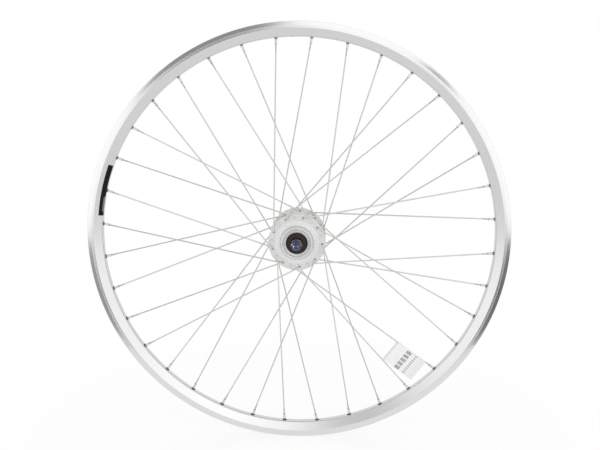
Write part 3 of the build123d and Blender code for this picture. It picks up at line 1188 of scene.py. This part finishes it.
class WHEEL_OT_axle(bpy.types.Operator):
    """Turn the hollow axle and make its two chamfered hexagon locknuts"""

    bl_idname = "wheel.axle"
    bl_label = "Axle and locknuts"

    steps = 64
    nut_sides = 6
    half_side = math.radians(30)
    chamfer = math.radians(30)
    face_inset = 0.1 * MM

    def make_axle(self, bearing):
        """A hollow axle with rounded ends and a plain stub on the right."""
        end = AXLE_HIGH.y
        section = rounded([
            (bearing.skewer, -end, FINE),
            (bearing.skewer, end, FINE),
            (bearing.stub, end, BLUNT),
            (bearing.stub, NUT_HIGH.y, 0),
            (bearing.axle, NUT_HIGH.y, 0),
            (bearing.axle, -end, BLUNT),
        ])
        return turned("wheel_axle", section, self.steps)

    def make_locknut(self, bearing, side, name):
        """A hexagon locknut whose corners are turned off on both faces."""
        low = NUT_LOW.y
        high = NUT_HIGH.y
        flat = bearing.nut_flats / 2
        corner = flat / math.cos(self.half_side)
        nut = add(
            bpy.ops.mesh.primitive_cylinder_add,
            f"wheel_locknut_{name}",
            vertices=self.nut_sides,
            radius=corner,
            depth=high - low,
            location=(0, side * (low + high) / 2, 0),
            rotation=(math.pi / 2, self.half_side, 0),
        )
        settle(nut)
        cut = (corner - flat) * math.tan(self.chamfer)
        barrel = rounded(on_side(side, [
            (bearing.bore, low, FINE),
            (flat - self.face_inset, low, 0),
            (corner, low + cut, 0),
            (corner, high - cut, 0),
            (flat - self.face_inset, high, 0),
            (bearing.bore, high, FINE),
        ]))
        combine(nut, turned("nut_barrel", barrel, self.steps), "INTERSECT")
        return nut

    def execute(self, context):
        bearing = context.scene.wheel_bearing
        steel = steel_finish(bearing)
        hand_over(self.make_axle(bearing), steel, AXLE_SET, "bearing_steel", "axle")
        for side, name in SIDES:
            nut = self.make_locknut(bearing, side, name)
            hand_over(nut, steel, AXLE_SET, "bearing_steel", f"locknut_{name}")
        return {"FINISHED"}


class WHEEL_OT_axle_cap(bpy.types.Operator):
    """Turn the blue cap with its rounded crown"""

    bl_idname = "wheel.axle_cap"
    bl_label = "Axle cap"

    steps = 96
    dome_steps = 16
    bore_gap = 0.05 * MM
    bore_round = 0.2 * MM
    dome_flare = 0.2 * MM

    def execute(self, context):
        bearing = context.scene.wheel_bearing
        dome = bearing.cap_dome
        back = CAP_HIGH.y
        front = CAP_LOW.y
        bore = bearing.axle + self.bore_gap
        bore_end = front + bearing.cap_crown
        skirt_end = back - bearing.cap_skirt
        section = rounded([
            (0, bore_end, 0),
            (bore, bore_end, 0),
            (bore, back, self.bore_round),
            (bearing.cap, back, PLAIN),
            (bearing.cap, skirt_end, SOFT),
            (dome + self.dome_flare, skirt_end, BLUNT),
            (dome, front + dome, 0),
        ], steps=6)
        for step in range(1, self.dome_steps + 1):
            angle = math.pi / 2 * step / self.dome_steps
            section.append(Vector((dome * math.cos(angle), front + dome * (1 - math.sin(angle)), 0)))
        piece = turned("wheel_axle_cap", section, self.steps, closed=False)
        hand_over(piece, plastic_finish(bearing), CAP, "cap_plastic", "axle_cap")
        return {"FINISHED"}


class WHEEL_OT_rim_decal(bpy.types.Operator):
    """Lay the black sticker on the left slope of the rim"""

    bl_idname = "wheel.rim_decal"
    bl_label = "Rim sticker"

    steps = 64
    round_steps = 8
    glue = 0.04 * MM

    def section(self, rim, trim):
        """Path of the film up the slope, a film of glue away from the metal."""
        slope = rounded([
            (rim.bed, 0, 0),
            (rim.bed, -rim.bed_width / 2, rim.bed_round),
            (rim.track, -rim.width / 2, 0),
        ], steps=self.round_steps)[1:]
        inner = rim.bed + trim.decal_inset
        outer = inner + trim.decal_width
        run = (slope[-1] - slope[-2]).normalized()
        stop = slope[-2] + run * (outer - slope[-2].x) / run.x
        line = [point for point in slope[:-1] if point.x > inner] + [stop]
        lift = Vector((-run.y, run.x, 0)) * self.glue
        lift = lift if lift.y < 0 else -lift
        return [point + lift for point in line]

    def face_out(self, piece):
        """Turn the film's faces away from the rim."""
        if piece.data.polygons[0].normal.y > 0:
            edit(piece)
            bpy.ops.mesh.flip_normals()

    def execute(self, context):
        rim = context.scene.wheel_rim
        trim = context.scene.wheel_trim
        piece = draw_wire("wheel_rim_decal", self.section(rim, trim))
        edit(piece)
        bpy.ops.mesh.spin(steps=self.steps, angle=trim.decal_length, center=(0, 0, 0), axis=SPIN_AXIS)
        close_seams(piece)
        piece.matrix_world = Matrix.Rotation(-trim.decal_top, 4, "Y")
        settle(piece)
        self.face_out(piece)
        modify(piece, "SOLIDIFY", thickness=trim.decal_film, offset=1.0)
        hand_over(piece, film_finish(trim, rim), WHEEL, "decal_film", "rim_decal")
        return {"FINISHED"}


class WHEEL_OT_paper_tag(bpy.types.Operator):
    """Fold the paper tag round its spoke"""

    bl_idname = "wheel.paper_tag"
    bl_label = "Paper tag"

    arc_steps = 14
    width_steps = 8
    length_steps = 16
    open_angle = math.radians(35)
    fold_gap = 0.05 * MM
    # Half the space between the leaves' middles, against the paper's thickness
    leaf_gap = 0.56
    # Where the leaves meet past the fold, against the fold's radius
    leaf_start = 2.6
    blank_leaf = 2
    crease = 50

    def section(self, trim, radius):
        """Path of the paper across the spoke, from one free edge round the fold to the other."""
        half_gap = self.leaf_gap * trim.paper
        leave = self.leaf_start * radius
        flat = []
        for step in range(self.width_steps + 1):
            flat.append(trim.tag_width + (leave - trim.tag_width) * step / self.width_steps)
        arc = []
        for step in range(self.arc_steps + 1):
            angle = -self.open_angle - (math.tau - 2 * self.open_angle) * step / self.arc_steps
            arc.append(Vector((radius * math.cos(angle), radius * math.sin(angle), 0)))
        front = [Vector((x, -half_gap, 0)) for x in flat]
        back = [Vector((x, half_gap, 0)) for x in reversed(flat)]
        return front + arc + back

    def lay_print(self, piece, trim):
        """Map the print flat over the leaf in front and leave the leaf behind it blank."""
        layer = piece.data.uv_layers.new(name="print")
        for face in piece.data.polygons:
            aside = self.blank_leaf if face.center.y < 0 else 0
            for index in face.loop_indices:
                point = piece.data.vertices[piece.data.loops[index].vertex_index].co
                layer.data[index].uv = (point.x / trim.tag_width + aside, point.z / trim.tag_length)

    def execute(self, context):
        scene = context.scene
        trim = scene.wheel_trim
        radius = scene.wheel_lacing.spoke / 2 + self.fold_gap + trim.paper / 2
        piece = draw_wire("wheel_paper_tag", self.section(trim, radius))
        edit(piece)
        step = Vector((0, 0, trim.tag_length / self.length_steps))
        for _ in range(self.length_steps):
            bpy.ops.mesh.extrude_region_move(TRANSFORM_OT_translate={"value": step})
        bpy.ops.object.mode_set(mode="OBJECT")
        self.lay_print(piece, trim)
        modify(piece, "SOLIDIFY", thickness=trim.paper, offset=0.0)
        lace = Lace(scene, trim.tag_spoke - 1)
        run = -lace.direction
        out = run.cross(SPIN_AXIS).normalized()
        start = lace.seat + run * trim.tag_from_seat
        piece.matrix_world = Matrix.Translation(start) @ frame_turn(out, run.cross(out), run)
        settle(piece)
        close_seams(piece)
        hand_over(piece, paper_finish(trim), WHEEL, "tag_paper", "paper_tag", crease=self.crease)
        return {"FINISHED"}


class WHEEL_OT_stage(bpy.types.Operator):
    """Set up the floor, the studio light and the camera"""

    bl_idname = "wheel.stage"
    bl_label = "Stage"

    floor_radius = 0.56
    floor_sides = 96
    floor_gap = 0.5 * MM
    # The floor keeps its shadow within the first radius and loses it towards the second.
    shadow_fade = (0.36, 0.97 * floor_radius)
    glow_share = 0.85
    # Where each part of the room begins and ends, in x, y or z of the direction from the wheel; a third
    # number says how soft its edges are.
    horizon_soft = 0.008
    far_floor = (-0.62, -0.42)
    far_floor_sides = (-0.50, 0.50, 0.08)
    far_floor_more = 0.20
    ceiling = (0.66, 0.86)
    side_walls = (-0.38, 0.30, 0.12)
    backdrop = (0.25, 0.60)
    front = (0.0, -0.25)
    # What stands in front of the wheel, seen only in its metal: the sides of each in x and z of its
    # direction, how soft its edges are and how bright it is against the wall behind it.
    screens = (
        ("dark_stand", -0.25, -0.06, -0.02, 0.13, 0.025, 0.25),
        ("camera_gap", -0.48, -0.10, 0.13, 0.38, 0.02, 0.10),
        ("small_gap", 0.128, 0.172, -0.02, 0.03, 0.012, 0.20),
        ("right_gap", 0.12, 0.36, -0.346, -0.206, 0.006, 0.16),
        ("left_gap", -0.40, -0.20, -0.337, -0.206, 0.010, 0.33),
        ("dark_corner", -0.50, -0.13, 0.46, 0.78, 0.10, 0.52),
        ("soft_box", 0.06, 0.60, 0.34, 0.80, 0.10, 1.15),
    )
    # Lamps by name, place, size and power
    lamps = (
        ("key", (-1.5, -1.6, 0.5), 1.4, 13.0),
        ("fill", (1.4, -1.6, 0.7), 1.4, 10.0),
        ("back", (0.2, 1.8, 1.0), 1.6, 14.0),
    )
    # Two soft boxes at the sides that light only the cap and show as spots in its dome
    cap_lamps = (
        ("left_box", (-1.14, -0.44, -0.02), 0.6, 20.0),
        ("right_box", (0.88, -0.86, 0.06), 0.6, 6.5),
    )

    def make_floor(self, stage):
        """A small round floor that is white to the eye and keeps a faint shadow."""
        floor = add(
            bpy.ops.mesh.primitive_circle_add,
            "floor",
            vertices=self.floor_sides,
            radius=self.floor_radius,
            fill_type="NGON",
            location=(0, 0, RIM_LOW.z - self.floor_gap),
        )
        finish = Finish.of_material("floor_white")
        camera, glossy = finish.rays()
        brightness = camera + glossy * stage.near_floor
        paint = finish.node("ShaderNodeBsdfDiffuse", {}, {"Color": stage.white})
        glow = finish.node("ShaderNodeEmission", {}, {"Color": stage.white, "Strength": brightness})
        across, along, _ = finish.split(finish.here)
        fade = finish.rise(across.hypot(along), *self.shadow_fade)
        glowing = (self.glow_share + (1 - self.glow_share) * fade) * camera.maths("MAXIMUM", glossy)
        mixed = finish.node("ShaderNodeMixShader", {}, {0: glowing, 1: paint, 2: glow})
        finish.feed(finish.tree.nodes["Material Output"].inputs["Surface"], mixed)
        floor.data.materials.append(finish.material)

    def make_world(self, scene, stage):
        """White all round, with a floor, a dim ceiling and a few screens that only metal shows."""
        world = bpy.data.worlds.new("studio")
        world.use_nodes = True
        scene.world = world
        studio = Finish(world.node_tree)
        camera, glossy = studio.rays()
        x, y, z = studio.split(studio.node("ShaderNodeTexCoord", {}, {}, output="Generated"))
        above = studio.rise(z, stage.horizon - self.horizon_soft, stage.horizon + self.horizon_soft)
        far_floor = studio.rise(z, *self.far_floor) * studio.band(x, *self.far_floor_sides)
        floor = stage.floor_light + self.far_floor_more * far_floor
        shown = floor + (stage.wall_light - floor) * above
        shown = shown * (1 - stage.ceiling_dark * studio.rise(z, *self.ceiling))
        shown = shown * (1 - stage.side_dark * above * studio.band(y, *self.side_walls))
        shown = shown + (stage.backdrop_light - shown) * studio.rise(y, *self.backdrop)
        in_front = studio.rise(y, *self.front)
        for _, left, right, low, high, soft, brightness in self.screens:
            screen = studio.band(x, left, right, soft) * studio.band(z, low, high, soft) * in_front
            shown = shown * (1 - (1 - brightness) * screen)
        strength = camera + (1 - camera) * (glossy * shown + (1 - glossy) * stage.ambient)
        background = world.node_tree.nodes["Background"]
        studio.feed(background.inputs["Color"], stage.white)
        studio.feed(background.inputs["Strength"], strength)

    def add_lamp(self, name, place, size, power):
        """One soft round lamp turned to the hub."""
        facing = Vector(place).to_track_quat("Z", "Y").to_euler()
        lamp = add(bpy.ops.object.light_add, f"{name}_lamp", type="AREA", location=place, rotation=facing)
        lamp.data.energy = power
        lamp.data.shape = "DISK"
        lamp.data.size = size
        return lamp

    def make_lamps(self):
        """Soft lamps that the metal doesn't show, and two that light the cap alone."""
        for row in self.lamps:
            self.add_lamp(*row).visible_glossy = False
        cap_alone = bpy.data.collections.new("cap_alone")
        cap_alone.objects.link(bpy.data.objects["wheel_axle_cap"])
        for row in self.cap_lamps:
            self.add_lamp(*row).light_linking.receiver_collection = cap_alone

    def make_camera(self, scene, stage):
        """A camera at the photograph's angle."""
        flat = math.cos(stage.elevation)
        back = Vector((
            math.sin(stage.azimuth) * flat,
            -math.cos(stage.azimuth) * flat,
            math.sin(stage.elevation),
        ))
        right = (-back).cross(UP).normalized()
        above = right.cross(-back)
        ahead = (-back + math.tan(stage.pan) * right + math.tan(stage.tilt) * above).normalized()
        across = Matrix.Rotation(stage.roll, 3, -ahead) @ ahead.cross(UP).normalized()
        aim = frame_turn(across, (-ahead).cross(across), -ahead)
        camera = add(bpy.ops.object.camera_add, "photo_camera")
        camera.matrix_world = Matrix.Translation(back * stage.distance) @ aim
        camera.data.lens = stage.lens
        camera.data.sensor_width = stage.sensor
        scene.camera = camera

    def execute(self, context):
        scene = context.scene
        stage = scene.wheel_stage
        self.make_floor(stage)
        self.make_world(scene, stage)
        self.make_lamps()
        self.make_camera(scene, stage)
        scene.view_settings.view_transform = "Standard"
        return {"FINISHED"}


PIECES = (
    WHEEL_OT_rim,
    WHEEL_OT_nipples,
    WHEEL_OT_spokes,
    WHEEL_OT_hub_shell,
    WHEEL_OT_bearings,
    WHEEL_OT_axle,
    WHEEL_OT_axle_cap,
    WHEEL_OT_rim_decal,
    WHEEL_OT_paper_tag,
    WHEEL_OT_stage,
)


class WHEEL_PT_pieces(bpy.types.Panel):
    """Lists the pieces of the wheel"""

    bl_idname = "WHEEL_PT_pieces"
    bl_label = "Laced Wheel"
    bl_space_type = "VIEW_3D"
    bl_region_type = "UI"
    bl_category = "Wheel"

    def draw(self, context):
        for piece in PIECES:
            self.layout.operator(piece.bl_idname)


SETTINGS = (
    ("wheel_rim", RimSizes),
    ("wheel_lacing", LacingSizes),
    ("wheel_hub", HubSizes),
    ("wheel_bearing", BearingSizes),
    ("wheel_trim", TrimSizes),
    ("wheel_stage", StageSettings),
)


def register():
    """Add the settings, operators and panel."""
    for name, group in SETTINGS:
        bpy.utils.register_class(group)
        setattr(bpy.types.Scene, name, bpy.props.PointerProperty(type=group))
    for piece in PIECES:
        bpy.utils.register_class(piece)
    bpy.utils.register_class(WHEEL_PT_pieces)


def unregister():
    """Take the panel, operators and settings away again."""
    bpy.utils.unregister_class(WHEEL_PT_pieces)
    for piece in reversed(PIECES):
        bpy.utils.unregister_class(piece)
    for name, group in reversed(SETTINGS):
        delattr(bpy.types.Scene, name)
        bpy.utils.unregister_class(group)


def main():
    """Build every piece in order."""
    register()
    bpy.ops.wheel.rim()
    bpy.ops.wheel.nipples()
    bpy.ops.wheel.spokes()
    bpy.ops.wheel.hub_shell()
    bpy.ops.wheel.bearings()
    bpy.ops.wheel.axle()
    bpy.ops.wheel.axle_cap()
    bpy.ops.wheel.rim_decal()
    bpy.ops.wheel.paper_tag()
    bpy.ops.wheel.stage()
    deselect_all()


if __name__ == "__main__":
    main()
